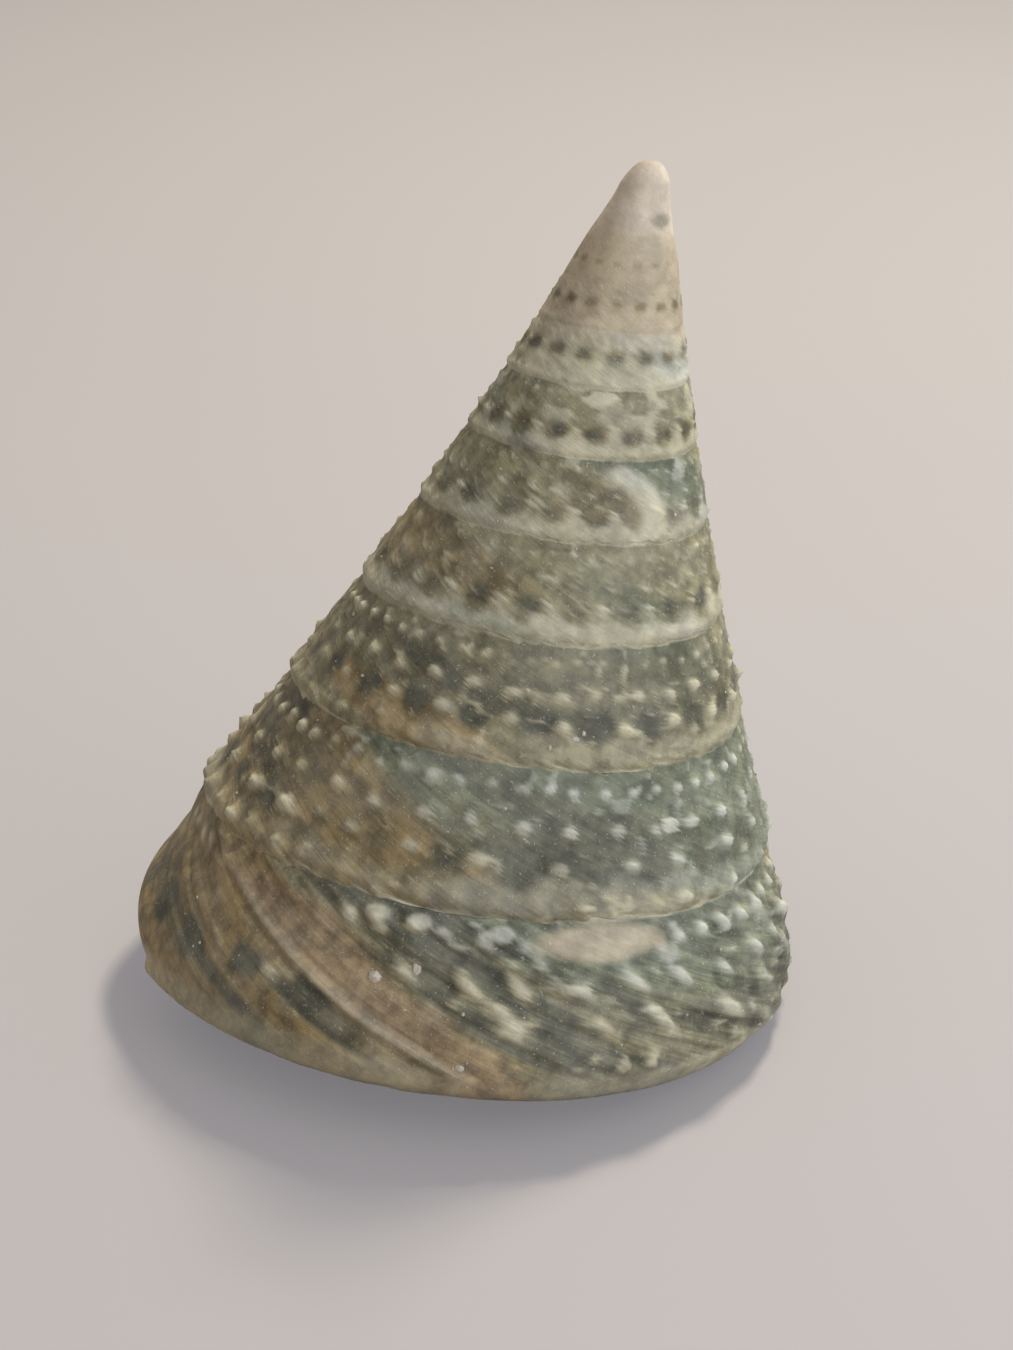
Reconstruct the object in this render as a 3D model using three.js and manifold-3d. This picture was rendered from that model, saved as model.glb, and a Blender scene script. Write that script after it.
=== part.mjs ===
// A top shell: the tall, pointed shell of a sea snail, empty, standing on its base.
// Units are millimetres and +Z is up. It grew as one piece, so it is one solid.
//
// A snail builds its shell at the lip, which goes round an axis while it grows. So every whorl is
// the whorl below it, turned back and made smaller. The outline of the last whorl is drawn once
// here, and place() carries each point of it back along the spiral. The grid of corners follows the
// growth lines, which slant across each whorl, and the lip is the last of them.

import * as THREE from "three";
import { mergeVertices } from "three/addons/utils/BufferGeometryUtils.js";
import Module from "manifold-3d";

// Driving dimensions of the spiral
const LIP_RADIUS = 18.5; // from the axis to the lower edge of the last whorl, at the lip
const LIP_DEPTH = 48.6; // that edge below the point where the spiral would vanish
const RADIUS_RATIO = 1.265; // each whorl's radius over that of the whorl above it
const DEPTH_RATIO = 1.2; // each whorl's depth over that of the whorl above it
const TURNS = 10.7; // whorls from the lip up to the worn tip
const TIP_RISE = 0.75; // how far the worn, rounded tip stands above the last corner of the spiral
const LIP_AZIMUTH = 205; // degrees, where the lower end of the lip stands, seen from above

// Growth lines. Every second one carries a row of knobs, and the ones between carry beads.
const LINES = 44; // in a turn
const SLANT_LINES = 8; // how far a line's upper end runs ahead of its lower end, in lines
const KNOB_HEIGHT = 0.6;
const BEAD_HEIGHT = 0.4;
const FOLD_HEIGHT = 0.25;
const CARVED_TURNS = 8.2; // above this the whorls are worn smooth
const SMOOTH_LIP_TURNS = 0.3; // the knobs fade over this last stretch

// The last whorl has no whorl below it: its lower part is drawn in and up, and rounds into the base
const DRAWN_UP = 0.021; // as a share of its size
const ROUNDED_IN = 0.55;
const LAST_WHORL_FROM = 0.82; // turns back from the lip, where this starts
const LAST_WHORL_FULL = 0.5;
const LIP_DRAWN_IN = 0.6; // the flank is lower still over the last stretch before the lip
const LIP_STRETCH = 0.35; // in turns

// How the shell stands: its axis leans away from the lip, as the real one does on a table
const LEAN = THREE.MathUtils.degToRad(12);
const LEAN_SIDE = THREE.MathUtils.degToRad(40); // the side that the tip leans to
const FOOT_WEAR = 0.35; // height worn off flat where the shell touches the table

// The flank of the last whorl. across runs from the suture, 0, to the lower edge, 1. out is how
// far the flank stands out from the straight line between them.
const FLANK = [
  { across: 0.05, out: 0.0 },
  { across: 0.13, out: 0.2, row: "beads" },
  { across: 0.24, out: 0.16 },
  { across: 0.37, out: 0.28, row: "beads" },
  { across: 0.5, out: 0.26 },
  { across: 0.64, out: 0.34, row: "knobs" },
  { across: 0.78, out: 0.38 },
  { across: 0.9, out: 0.42, row: "folds" },
  { across: 0.97, out: 0.3 },
];
const UPPER_FLANK = FLANK.filter((_, i) => i % 2 === 1); // enough for the smaller whorls
const TIP_FLANK = [FLANK[3], FLANK[7]]; // enough for the worn tip
const UPPER_FROM = 5.5; // turns back from the lip
const TIP_FROM = 8;
const GROOVE = -0.16; // out, at the suture itself

// The base of the last whorl, from its rounded edge in to the pillar: radius and depth
const BASE = [
  [17.35, 49.95],
  [16.3, 50.65],
  [14.2, 51.0],
  [11.0, 51.05],
  [7.6, 50.7],
  [4.4, 50.0],
  [1.6, 49.4],
];
const PILLAR_FOOT = 47.2; // depth of the axis between the two ends of the base's spiral

// The hollow of the last whorl: radius and depth
const HOLLOW = [
  [3.0, 43.2],
  [8.0, 43.4],
  [12.0, 42.9],
  [14.3, 42.5],
  [15.3, 44.8],
  [16.0, 47.0],
  [15.5, 48.4],
  [12.3, 49.0],
  [8.0, 48.8],
  [4.6, 48.2],
  [3.0, 47.0],
];
const HOLLOW_TOP = 42.6; // the depths that the slant of the growth lines runs between
const HOLLOW_FLOOR = 48.9;
const HOLLOW_TURNS = 2.6; // how far the hollow is followed inwards
const HOLLOW_STEP = 2; // in growth lines
const LIP_THINNING = 0.03; // the hollow grows by this share towards the lip
const THINNING_TURNS = 0.25;

// The lower edge of the last whorl, the suture above it, and the straight line between them
const EDGE = new THREE.Vector2(LIP_RADIUS, LIP_DEPTH);
const SUTURE = new THREE.Vector2(LIP_RADIUS / RADIUS_RATIO, LIP_DEPTH / DEPTH_RATIO);
const DOWN_FLANK = EDGE.clone().sub(SUTURE);
const OUTWARD = new THREE.Vector2(DOWN_FLANK.y, -DOWN_FLANK.x).normalize();

// All corners of the shell, and its triangles as numbers of corners
const corners = [];
const triangles = [];

// A corner: a point of the last whorl's outline, carried back along the spiral by some turns
function place(turn, radius, depth) {
  const azimuth = THREE.MathUtils.degToRad(LIP_AZIMUTH + 360 * turn);
  const r = radius * RADIUS_RATIO ** -turn;
  const z = -depth * DEPTH_RATIO ** -turn;
  return corners.push(new THREE.Vector3(r * Math.cos(azimuth), r * Math.sin(azimuth), z)) - 1;
}

// How far a point runs ahead of the foot of its growth line, in turns, at a share of the way down
function ahead(share) {
  return (SLANT_LINES / LINES) * (1 - THREE.MathUtils.clamp(share, 0, 1));
}

// How much of a growth line's shape is that of the last whorl, from 0 to 1
function lastWhorl(turn) {
  return 1 - THREE.MathUtils.smoothstep(turn, LAST_WHORL_FULL, LAST_WHORL_FROM);
}

function placeOnFlank(turn, across, out) {
  const low = THREE.MathUtils.clamp((across - 0.4) / 0.6, 0, 1) ** 2;
  const lip = (1 - THREE.MathUtils.smoothstep(turn, 0, LIP_STRETCH)) * THREE.MathUtils.smoothstep(across, 0, 0.3);
  const inwards = ROUNDED_IN * low * lastWhorl(turn) + LIP_DRAWN_IN * lip;
  const { x, y } = SUTURE.clone().addScaledVector(DOWN_FLANK, across).addScaledVector(OUTWARD, out - inwards);
  const scale = 1 - DRAWN_UP * across * lastWhorl(turn);
  return place(turn - ahead(across), x * scale, y * scale);
}

function placeOnBase(turn, radius, depth) {
  const scale = 1 - DRAWN_UP * lastWhorl(turn);
  return place(turn, radius * scale, depth * scale);
}

// The height of the knobs, beads and folds where a growth line crosses a row of them
function relief(row, line) {
  if (!row) return 0;
  const odd = Math.abs(line) % 2 === 1;
  if (odd !== (row === "beads")) return 0;
  const height = { knobs: KNOB_HEIGHT, beads: BEAD_HEIGHT, folds: FOLD_HEIGHT }[row];
  const turn = line / LINES;
  const tip = THREE.MathUtils.smoothstep(CARVED_TURNS - turn, 0, 1.5);
  const lip = THREE.MathUtils.smoothstep(turn, 0, SMOOTH_LIP_TURNS);
  return height * tip * lip;
}

// The triangles between two rows of corners, which may hold different numbers of them. share says
// how far along its row each corner is.
function zip(rowA, shareA, rowB, shareB) {
  let a = 0;
  let b = 0;
  while (a + 1 < rowA.length || b + 1 < rowB.length) {
    const stepA = b + 1 === rowB.length || (a + 1 < rowA.length && shareA[a + 1] <= shareB[b + 1]);
    if (stepA) {
      triangles.push(rowA[a], rowA[a + 1], rowB[b]);
      a += 1;
    } else {
      triangles.push(rowA[a], rowB[b + 1], rowB[b]);
      b += 1;
    }
  }
}

// Triangles that fill a flat outline of corners, with holes in it. Each corner is flattened to its
// distance from the axis and its height.
function fill(outline, holes = []) {
  const flat = (corner) => new THREE.Vector2(Math.hypot(corners[corner].x, corners[corner].y), corners[corner].z);
  const all = [outline, ...holes].flat();
  for (const face of THREE.ShapeUtils.triangulateShape(outline.map(flat), holes.map((hole) => hole.map(flat)))) {
    triangles.push(...face.map((i) => all[i]));
  }
}

// The flank: a growth line at a time, from the lip back to the tip. The lower end of each line is
// the upper end of the line one turn nearer the lip.
const LAST_LINE = Math.round(TURNS * LINES);
const WELD = LINES - SLANT_LINES;

function flankRows(line) {
  if (line < UPPER_FROM * LINES) return FLANK;
  return line < TIP_FROM * LINES ? UPPER_FLANK : TIP_FLANK;
}

const edge = Array.from({ length: LAST_LINE + 1 }, (_, line) => placeOnFlank(line / LINES, 1, GROOVE));
const lines = edge.map((foot, line) => {
  const top = line + WELD <= LAST_LINE ? edge[line + WELD] : placeOnFlank(line / LINES, 0, GROOVE);
  const rows = flankRows(line);
  const between = rows.map(({ across, out, row }) => {
    return placeOnFlank(line / LINES, across, out + relief(row, line));
  });
  return { corners: [top, ...between, foot], shares: [0, ...rows.map(({ across }) => across), 1] };
});
for (let line = 0; line < LAST_LINE; line++) {
  const next = lines[line + 1];
  zip(lines[line].corners, lines[line].shares, next.corners, next.shares);
}

// The worn tip: a fan from the topmost point down to the end of the flank
function tip() {
  const rim = lines.slice(LAST_LINE - WELD).map((line) => line.corners[0]);
  const loop = [...rim, ...lines[LAST_LINE].corners.slice(1, -1)];
  const highest = Math.max(...loop.map((corner) => corners[corner].z));
  const top = corners.push(new THREE.Vector3(0, 0, highest + TIP_RISE)) - 1;
  loop.forEach((corner, i) => triangles.push(corner, loop[(i + 1) % loop.length], top));
}

// The base: from the edge in to the pillar, and on to its foot on the axis
function base() {
  const foot = corners.push(new THREE.Vector3(0, 0, -PILLAR_FOOT)) - 1;
  const rows = Array.from({ length: WELD + 1 }, (_, line) => [
    edge[line],
    ...BASE.map(([radius, depth]) => placeOnBase(line / LINES, radius, depth)),
    foot,
  ]);
  const shares = rows[0].map((_, i) => i);
  for (let line = 0; line < WELD; line++) {
    zip(rows[line], shares, rows[line + 1].slice(0, -1), shares.slice(0, -1));
  }
  return rows;
}

// The hollow that the animal lived in: a tube that spirals in from the lip to a blind end
function hollow() {
  const count = Math.round((HOLLOW_TURNS * LINES) / HOLLOW_STEP);
  const rings = Array.from({ length: count + 1 }, (_, i) => {
    const turn = (i * HOLLOW_STEP) / LINES;
    const swell = 1 + LIP_THINNING * (1 - THREE.MathUtils.smoothstep(turn, 0, THINNING_TURNS));
    return HOLLOW.map(([radius, depth]) => {
      const share = (depth - HOLLOW_TOP) / (HOLLOW_FLOOR - HOLLOW_TOP);
      return place(turn - ahead(share), radius * swell, depth);
    });
  });
  for (let i = 0; i < count; i++) {
    rings[i].forEach((corner, j) => {
      const k = (j + 1) % HOLLOW.length;
      triangles.push(corner, rings[i + 1][k], rings[i][k], corner, rings[i + 1][j], rings[i + 1][k]);
    });
  }
  fill(rings[count]);
  return rings[0];
}

tip();
const baseRows = base();
const mouth = hollow();
const lipFace = [
  ...lines[0].corners,
  ...baseRows[0].slice(1),
  ...baseRows[WELD].slice(1, -1).reverse(),
];
fill(lipFace, [mouth]);

// A three.js geometry as a solid
const wasm = await Module();
wasm.setup();

function solidOf(geometry) {
  const plain = new THREE.BufferGeometry();
  plain.setAttribute("position", geometry.getAttribute("position"));
  plain.setIndex(geometry.index);
  const merged = mergeVertices(plain, 1e-4);
  return new wasm.Manifold(
    new wasm.Mesh({
      numProp: 3,
      vertProperties: new Float32Array(merged.attributes.position.array),
      triVerts: new Uint32Array(merged.index.array),
    }),
  );
}

function geometryOf(manifold) {
  const mesh = manifold.getMesh();
  const geometry = new THREE.BufferGeometry();
  geometry.setAttribute("position", new THREE.BufferAttribute(mesh.vertProperties, 3));
  geometry.setIndex(new THREE.BufferAttribute(mesh.triVerts, 1));
  return geometry;
}

// The shell as it stands: leaning, worn flat where it touches the table, over the origin
function standing() {
  const grown = new THREE.BufferGeometry().setFromPoints(corners).setIndex(triangles);
  grown.applyMatrix4(
    new THREE.Matrix4().makeRotationAxis(new THREE.Vector3(-Math.sin(LEAN_SIDE), Math.cos(LEAN_SIDE), 0), LEAN),
  );
  grown.computeBoundingBox();
  const size = 100;
  const table = new THREE.BoxGeometry(size, size, size);
  table.translate(0, 0, grown.boundingBox.min.z + FOOT_WEAR - size / 2);
  const worn = geometryOf(solidOf(grown).subtract(solidOf(table)));
  worn.computeBoundingBox();
  const { min, max } = worn.boundingBox;
  return worn.translate(-(min.x + max.x) / 2, -(min.y + max.y) / 2, -min.z);
}

const shell = new THREE.Mesh(
  standing(),
  new THREE.MeshStandardMaterial({ color: 0x8d8b7c, roughness: 0.75, metalness: 0 }),
);
shell.name = "shell";
const group = new THREE.Group();
group.add(shell);
export default group;
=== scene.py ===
# %% [markdown]
# # A top shell, standing on a pale table
# This lesson builds the shell of a sea snail: a tall cone of eleven whorls with rows of knobs, a worn
# tip and a slanting mouth. A snail only adds shell at the lip, and the lip goes round an axis while
# it grows. So one thin wedge of shell, repeated by an Array modifier that turns and shrinks each
# copy, gives all the whorls. The knobs, scars and colours then follow two numbers that every point
# carries: how many turns it is from the lip, and how far it is across its whorl.

# %% The frame
import math
from dataclasses import dataclass

import bpy
import numpy as np
from mathutils import Matrix, Vector


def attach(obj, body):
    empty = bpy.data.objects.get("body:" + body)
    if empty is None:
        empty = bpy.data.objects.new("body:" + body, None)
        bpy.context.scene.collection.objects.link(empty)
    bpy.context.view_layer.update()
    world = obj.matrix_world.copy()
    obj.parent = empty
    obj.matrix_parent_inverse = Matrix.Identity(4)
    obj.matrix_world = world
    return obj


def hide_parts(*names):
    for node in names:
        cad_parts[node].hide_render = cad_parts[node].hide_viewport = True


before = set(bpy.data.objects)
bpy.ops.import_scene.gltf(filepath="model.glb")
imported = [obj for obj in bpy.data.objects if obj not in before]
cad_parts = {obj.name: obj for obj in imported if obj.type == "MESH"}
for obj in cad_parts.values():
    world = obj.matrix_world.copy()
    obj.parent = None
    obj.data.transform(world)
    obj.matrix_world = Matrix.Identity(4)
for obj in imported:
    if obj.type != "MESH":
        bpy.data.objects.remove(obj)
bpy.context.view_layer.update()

MM = 0.001

# %% [markdown]
# ## The camera
# The picture is taken from about 150 mm away, looking down at the shell. It is easier to say where
# the camera is in the shell's own frame, whose origin is where the spiral would vanish at the tip.
# Here the two frames are tied together: the shell leans by 12 degrees, and its worn tip is the
# highest point of the CAD model.

# %% The spiral and the way it stands
LIP_RADIUS = 18.5 * MM  # from the axis to the lower edge of the last whorl, at the lip
LIP_DEPTH = 48.6 * MM  # that edge below the point where the spiral would vanish
RADIUS_RATIO = 1.265  # each whorl's radius over that of the whorl above it
DEPTH_RATIO = 1.2
TURNS = 10.7  # whorls from the lip up to the tip
LIP_AZIMUTH = 205  # degrees
LEAN = math.radians(12)
LEAN_SIDE = math.radians(40)
CAD_LINES = 44  # growth lines in a turn of the CAD model
SLANT = 8 / CAD_LINES  # how far a growth line's upper end runs ahead of its lower end, in turns
TIP_RISE = 0.75 * MM
GROOVE = -0.16 * MM  # how far the flank stands out at the suture

edge = np.array([LIP_RADIUS, LIP_DEPTH])
suture = edge / np.array([RADIUS_RATIO, DEPTH_RATIO])
down_flank = edge - suture
outward = np.array([down_flank[1], -down_flank[0]]) / np.hypot(*down_flank)

lean = Matrix.Rotation(LEAN, 4, Vector((-math.sin(LEAN_SIDE), math.cos(LEAN_SIDE), 0)))
top_turn = round(TURNS * CAD_LINES) / CAD_LINES - SLANT
tip_depth = (suture[1] + GROOVE * outward[1]) * DEPTH_RATIO**-top_turn - TIP_RISE
cad_tip = max((vertex.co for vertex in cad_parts["shell"].data.vertices), key=lambda co: co.z)
apex = cad_tip - lean @ Vector((0, 0, -tip_depth))
stand = Matrix.Translation(apex) @ lean
print("the spiral would vanish at", [round(value / MM, 2) for value in apex], "mm")

# %% The camera
CAMERA_DISTANCE = 152.1 * MM
CAMERA_ELEVATION = math.radians(18.03)
CAMERA_ROLL = math.radians(12.92)
CAMERA_SIDE = 2.232 * MM
CAMERA_RISE = 4.163 * MM
LOOKS_AT_DEPTH = 27.19 * MM
LENS = 81.75

camera_data = bpy.data.cameras.new("camera")
camera_data.lens = LENS
camera_data.sensor_width = 36
camera_data.clip_start = 0.01
camera = bpy.data.objects.new("camera", camera_data)
bpy.context.scene.collection.objects.link(camera)
turned = Matrix.Rotation(math.radians(90) - CAMERA_ELEVATION, 4, "X") @ Matrix.Rotation(CAMERA_ROLL, 4, "Z")
looks_at = Matrix.Translation((0, 0, -LOOKS_AT_DEPTH))
away = Matrix.Translation((-CAMERA_SIDE, -CAMERA_RISE, CAMERA_DISTANCE))
camera.matrix_world = stand @ looks_at @ turned @ away
bpy.context.scene.camera = camera
print("camera at", [round(value / MM, 1) for value in camera.matrix_world.translation], "mm")

# %% [markdown]
# ## The shell's surface in numbers
# Every point of the outside has two numbers: turn, counted back from the lip along the growth line
# it lies on, and across, which is 0 at the suture, 1 at the lower edge of the whorl, and 1 to 2 on
# the base. The growth lines slant, so their upper ends run ahead. flank() and base() turn these two
# numbers and a height into a place, and the relief adds the knobs, ridges, scars and wear as heights.

# %% Places on the spiral
LAST_WHORL_FROM = 0.82  # turns back from the lip, where the last whorl's own shape starts
LAST_WHORL_FULL = 0.5
DRAWN_UP = 0.021
ROUNDED_IN = 0.55 * MM
LIP_DRAWN_IN = 0.6 * MM
LIP_STRETCH = 0.35  # in turns
FLAT_TIP_FROM = 5.8
FLAT_TIP_FULL = 8.2
TIP_NARROWING = 0.15
NARROWING_FROM = 8.6
NARROWING_FULL = 10.8


def ease(value, start, end):
    share = np.clip((value - start) / (end - start), 0, 1)
    return share * share * (3 - 2 * share)


def place(turn, radius, depth):
    azimuth = np.radians(LIP_AZIMUTH + 360 * turn)
    r = radius * RADIUS_RATIO**-turn
    return np.stack([r * np.cos(azimuth), r * np.sin(azimuth), -depth * DEPTH_RATIO**-turn], -1)


def last_whorl(turn):
    """1 on the last whorl, 0 on the whorls above it."""
    return 1 - ease(turn, LAST_WHORL_FULL, LAST_WHORL_FROM)


def ahead_of(turn, across):
    """The turn of a place by its azimuth, not by its growth line."""
    return turn - SLANT * (1 - across)


def level_of(turn, across):
    """A turn that is the same on both sides of a suture."""
    return turn + (1 - SLANT) * (1 - across)


def between(t, start, end, start_slope, end_slope):
    """A smooth curve from start to end, for t from 0 to 1, with a slope at each end."""
    result = (1 + 2 * t) * (1 - t) ** 2 * start + t * t * (3 - 2 * t) * end
    return result + t * (1 - t) ** 2 * start_slope + t * t * (t - 1) * end_slope


def curve(points, at):
    """A smooth curve through points, each a position and a value."""
    x, y = np.array(points).T
    slope = np.gradient(y, x)
    i = np.clip(np.searchsorted(x, at, side="right") - 1, 0, len(x) - 2)
    step = x[i + 1] - x[i]
    t = np.clip((at - x[i]) / step, 0, 1)
    return between(t, y[i], y[i + 1], step * slope[i], step * slope[i + 1])


# How far the flank bulges out, in mm, at each share of the way across
UPPER_SWELL = [
    (0, 0), (0.05, 0.02), (0.13, 0.1), (0.3, 0.17), (0.5, 0.24),
    (0.7, 0.29), (0.85, 0.3), (0.975, 0.24), (1, 0),
]
LAST_SWELL = [
    (0, 0), (0.05, 0.03), (0.13, 0.1), (0.3, 0.17), (0.5, 0.25),
    (0.7, 0.34), (0.85, 0.34), (0.95, 0.2), (1, 0.02),
]
# The base from its rounded edge in to the pillar: across, and a radius and depth in mm
BASE = [
    (1.13, 17.35, 49.95), (1.25, 16.3, 50.65), (1.4, 14.2, 51.0), (1.55, 11.0, 51.05),
    (1.7, 7.6, 50.7), (1.85, 4.4, 50.0), (2, 1.6, 49.4),
]


def flank(turn, across, height):
    """A place on the flank. height is measured at the size of the last whorl."""
    last = last_whorl(turn)
    flat_tip = 1 - 0.85 * ease(turn, FLAT_TIP_FROM, FLAT_TIP_FULL)
    swell = curve(UPPER_SWELL, across) * (1 - last) * flat_tip + curve(LAST_SWELL, across) * last
    low = np.clip((across - 0.4) / 0.6, 0, 1) ** 2
    lip = (1 - ease(turn, 0, LIP_STRETCH)) * ease(across, 0, 0.3)
    out = MM * swell + height - ROUNDED_IN * low * last - LIP_DRAWN_IN * lip
    radius = suture[0] + across * down_flank[0] + out * outward[0]
    depth = suture[1] + across * down_flank[1] + out * outward[1]
    scale = 1 - DRAWN_UP * across * last
    narrowed = 1 - TIP_NARROWING * ease(level_of(turn, across), NARROWING_FROM, NARROWING_FULL)
    return place(ahead_of(turn, across), radius * scale * narrowed, depth * scale)


def base(turn, across, height, rim_height):
    """A place on the base, from the lower edge of the flank, raised by rim_height, in to the pillar."""
    last = last_whorl(turn)
    rim_out = MM * (UPPER_SWELL[-1][1] * (1 - last) + LAST_SWELL[-1][1] * last) + rim_height
    rim_out -= ROUNDED_IN * last + LIP_DRAWN_IN * (1 - ease(turn, 0, LIP_STRETCH))
    rows = np.array(BASE)
    steps = np.concatenate([[1], rows[:, 0]])
    inner = np.clip(np.searchsorted(steps, across, side="right") - 1, 0, len(steps) - 2)
    share = (across - steps[inner]) / (steps[inner + 1] - steps[inner])
    each = np.arange(len(turn))
    outline = []
    for axis in range(2):
        rim = edge[axis] + rim_out * outward[axis]
        values = np.stack([rim] + [row[axis + 1] * MM + 0 * turn for row in rows])
        before = values[np.maximum(inner - 1, 0), each]
        here = values[inner, each]
        there = values[inner + 1, each]
        after = values[np.minimum(inner + 2, len(steps) - 1), each]
        bend = np.where(inner > 0, (there - before) / 2, there - here)
        outline.append(between(share, here, there, bend, (after - here) / 2))
    scale = 1 - DRAWN_UP * last
    return place(turn, outline[0] * scale, (outline[1] + height) * scale)


print("the suture at the lip is", np.round(suture / MM, 1), "mm out and down")

# %% [markdown]
# ## One wedge, repeated
# The wedge is one growth line, drawn by extruding a corner down the flank, and a second one beside
# it, turned and shrunk by one step. Its UV map holds turn and across. The Array modifier repeats it
# with an Empty as its offset, and adds one step to the turn in the UV map of each copy. The lower
# edge of each whorl then meets the upper edge of the next, and Merge by Distance joins them.

# %% Growing a strip of shell
LINES = 187  # growth lines in a turn
ROWS = 22  # faces across the flank
BASE_ROWS = 28
STEP = 1 / LINES
STEP_SHRINK = (RADIUS_RATIO**-STEP, RADIUS_RATIO**-STEP, DEPTH_RATIO**-STEP)
LAST_LINE = round(TURNS * LINES)
WELD_LINES = round(LINES * (1 - SLANT))
CROWDING = 0.45  # how much closer the rows are near the sutures
SAME_PLACE = 0.001 * MM


def object_mode():
    bpy.ops.object.mode_set(mode="OBJECT")


def edit_mode(kind="VERT", action="SELECT"):
    bpy.ops.object.mode_set(mode="EDIT")
    bpy.ops.mesh.select_mode(type=kind)
    bpy.ops.mesh.select_all(action=action)


def select_vertices(mesh, chosen):
    """Edit mode, with only the chosen corners selected."""
    edit_mode("VERT", "DESELECT")
    object_mode()
    mesh.vertices.foreach_set("select", chosen.astype(bool))
    bpy.ops.object.mode_set(mode="EDIT")


def choose(pieces, active):
    bpy.ops.object.select_all(action="DESELECT")
    for piece in pieces:
        piece.select_set(True)
    bpy.context.view_layer.objects.active = active


def grown_strip(name, corners, shares, count, closed=False):
    """A strip of shell: the growth line through corners, repeated count times along the spiral."""
    bpy.ops.object.select_all(action="DESELECT")
    bpy.ops.mesh.primitive_plane_add(size=MM, location=(0, 0, 0))
    strip = bpy.context.object
    strip.name = name
    strip.data.name = name
    edit_mode()
    bpy.ops.mesh.merge(type="CENTER")
    bpy.ops.transform.translate(value=corners[0])
    for before, after in zip(corners, corners[1:]):
        bpy.ops.mesh.extrude_vertices_move(TRANSFORM_OT_translate={"value": Vector(after) - Vector(before)})
    if closed:
        ends = np.zeros(len(corners))
        ends[[0, -1]] = 1
        select_vertices(strip.data, ends)
        bpy.ops.mesh.edge_face_add()
    bpy.ops.mesh.select_all(action="SELECT")
    bpy.ops.mesh.extrude_edges_move()
    bpy.ops.transform.resize(value=STEP_SHRINK, center_override=(0, 0, 0))
    bpy.ops.transform.rotate(value=-math.tau * STEP, orient_axis="Z", center_override=(0, 0, 0))
    object_mode()
    map_turns(strip, corners, shares)
    repeat(strip, count)
    return strip


def map_turns(strip, corners, shares):
    """Writes turn and across into the UV map of a wedge, by the corner nearest to each place."""
    here = np.array(corners)
    turned = Matrix.Rotation(math.tau * STEP, 3, "Z")
    next_line = (here @ np.array(turned).T) * STEP_SHRINK
    places = np.concatenate([here, next_line])
    marks = np.array([(0, share) for share in shares] + [(STEP, share) for share in shares])
    layer = strip.data.uv_layers.active or strip.data.uv_layers.new(name="growth")
    layer.name = "growth"
    for loop in strip.data.loops:
        distance = np.linalg.norm(places - strip.data.vertices[loop.vertex_index].co, axis=1)
        layer.data[loop.index].uv = marks[distance.argmin()]


def repeat(strip, count):
    """Repeats a wedge along the spiral and joins the copies."""
    bpy.ops.object.empty_add(location=(0, 0, 0))
    offset = bpy.context.object
    offset.rotation_euler = (0, 0, math.tau * STEP)
    offset.scale = STEP_SHRINK
    choose([strip], strip)
    array = strip.modifiers.new("whorls", "ARRAY")
    array.count = count
    array.use_relative_offset = False
    array.use_object_offset = True
    array.offset_object = offset
    array.offset_u = STEP
    array.use_merge_vertices = True
    array.merge_threshold = SAME_PLACE
    bpy.ops.object.modifier_apply(modifier=array.name)
    bpy.data.objects.remove(offset)
    print(strip.name, "has", len(strip.data.polygons), "faces")


def flank_start(share):
    """A corner of the first growth line, before it gets its shape."""
    radius, depth = suture + share * down_flank
    return Vector(place(-SLANT * (1 - share), radius, depth))


def base_start(share):
    """A corner of the first line of the base, which starts as a flat disc under the rim."""
    rim = Vector(flank_start(1))
    centre = Vector((0, 0, rim.z - MM))
    return rim.lerp(centre, 0.9 * (share - 1))


line_shares = np.linspace(0, 1, ROWS + 1)
line_shares = line_shares - CROWDING * np.sin(math.tau * line_shares) / math.tau
base_shares = np.linspace(1, 2, BASE_ROWS + 1)
shell = grown_strip("shell_fine", [flank_start(s) for s in line_shares], line_shares, LAST_LINE)
under = grown_strip("base", [base_start(s) for s in base_shares], base_shares, WELD_LINES)

# %% [markdown]
# ## The hollow
# The snail's room is a tube that follows the whorls inwards. Its outline is a closed curve, so the
# wedge is one thin slice of tube. It is followed for two turns, which is further than anyone can see
# in, and closed there.

# %% The hollow
# Once round its outline at the lip: radius and depth in mm
HOLLOW = [
    (3.0, 43.2), (5.5, 43.4), (8.0, 43.4), (10.0, 43.2), (12.0, 42.9), (13.4, 42.6), (14.3, 42.7),
    (15.0, 44.0), (15.5, 45.4), (15.9, 46.8), (16.0, 47.7), (15.5, 48.5), (14.2, 48.9), (12.3, 49.0),
    (10.0, 48.95), (8.0, 48.8), (6.2, 48.55), (4.6, 48.2), (3.5, 47.7), (3.0, 47.0), (2.7, 45.8), (2.7, 44.4),
]
HOLLOW_TOP = 42.6 * MM
HOLLOW_FLOOR = 48.9 * MM
HOLLOW_TURNS = 2.0
HOLLOW_SHARE = 3  # across, in the UV map, from here on
LIP_THINNING = 0.03
THINNING_TURNS = 0.25


def hollow(turn, share):
    """A place on the wall of the hollow. share runs once round its outline."""
    outline = np.array(HOLLOW + HOLLOW[:1]) * MM
    marks = np.linspace(0, 1, len(outline))
    swell = 1 + LIP_THINNING * (1 - ease(turn, 0, THINNING_TURNS))
    radius = np.interp(share, marks, outline[:, 0]) * swell
    depth = np.interp(share, marks, outline[:, 1])
    down = np.clip((depth - HOLLOW_TOP) / (HOLLOW_FLOOR - HOLLOW_TOP), 0, 1)
    return place(turn - SLANT * (1 - down), radius, depth)


ring_shares = np.arange(len(HOLLOW)) / len(HOLLOW)
ring = [Vector(hollow(np.array([0.0]), np.array([share]))[0]) for share in ring_shares]
hollow_lines = round(HOLLOW_TURNS * LINES / 2) * 2
room = grown_strip("hollow", ring, HOLLOW_SHARE + ring_shares, hollow_lines, closed=True)

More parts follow.
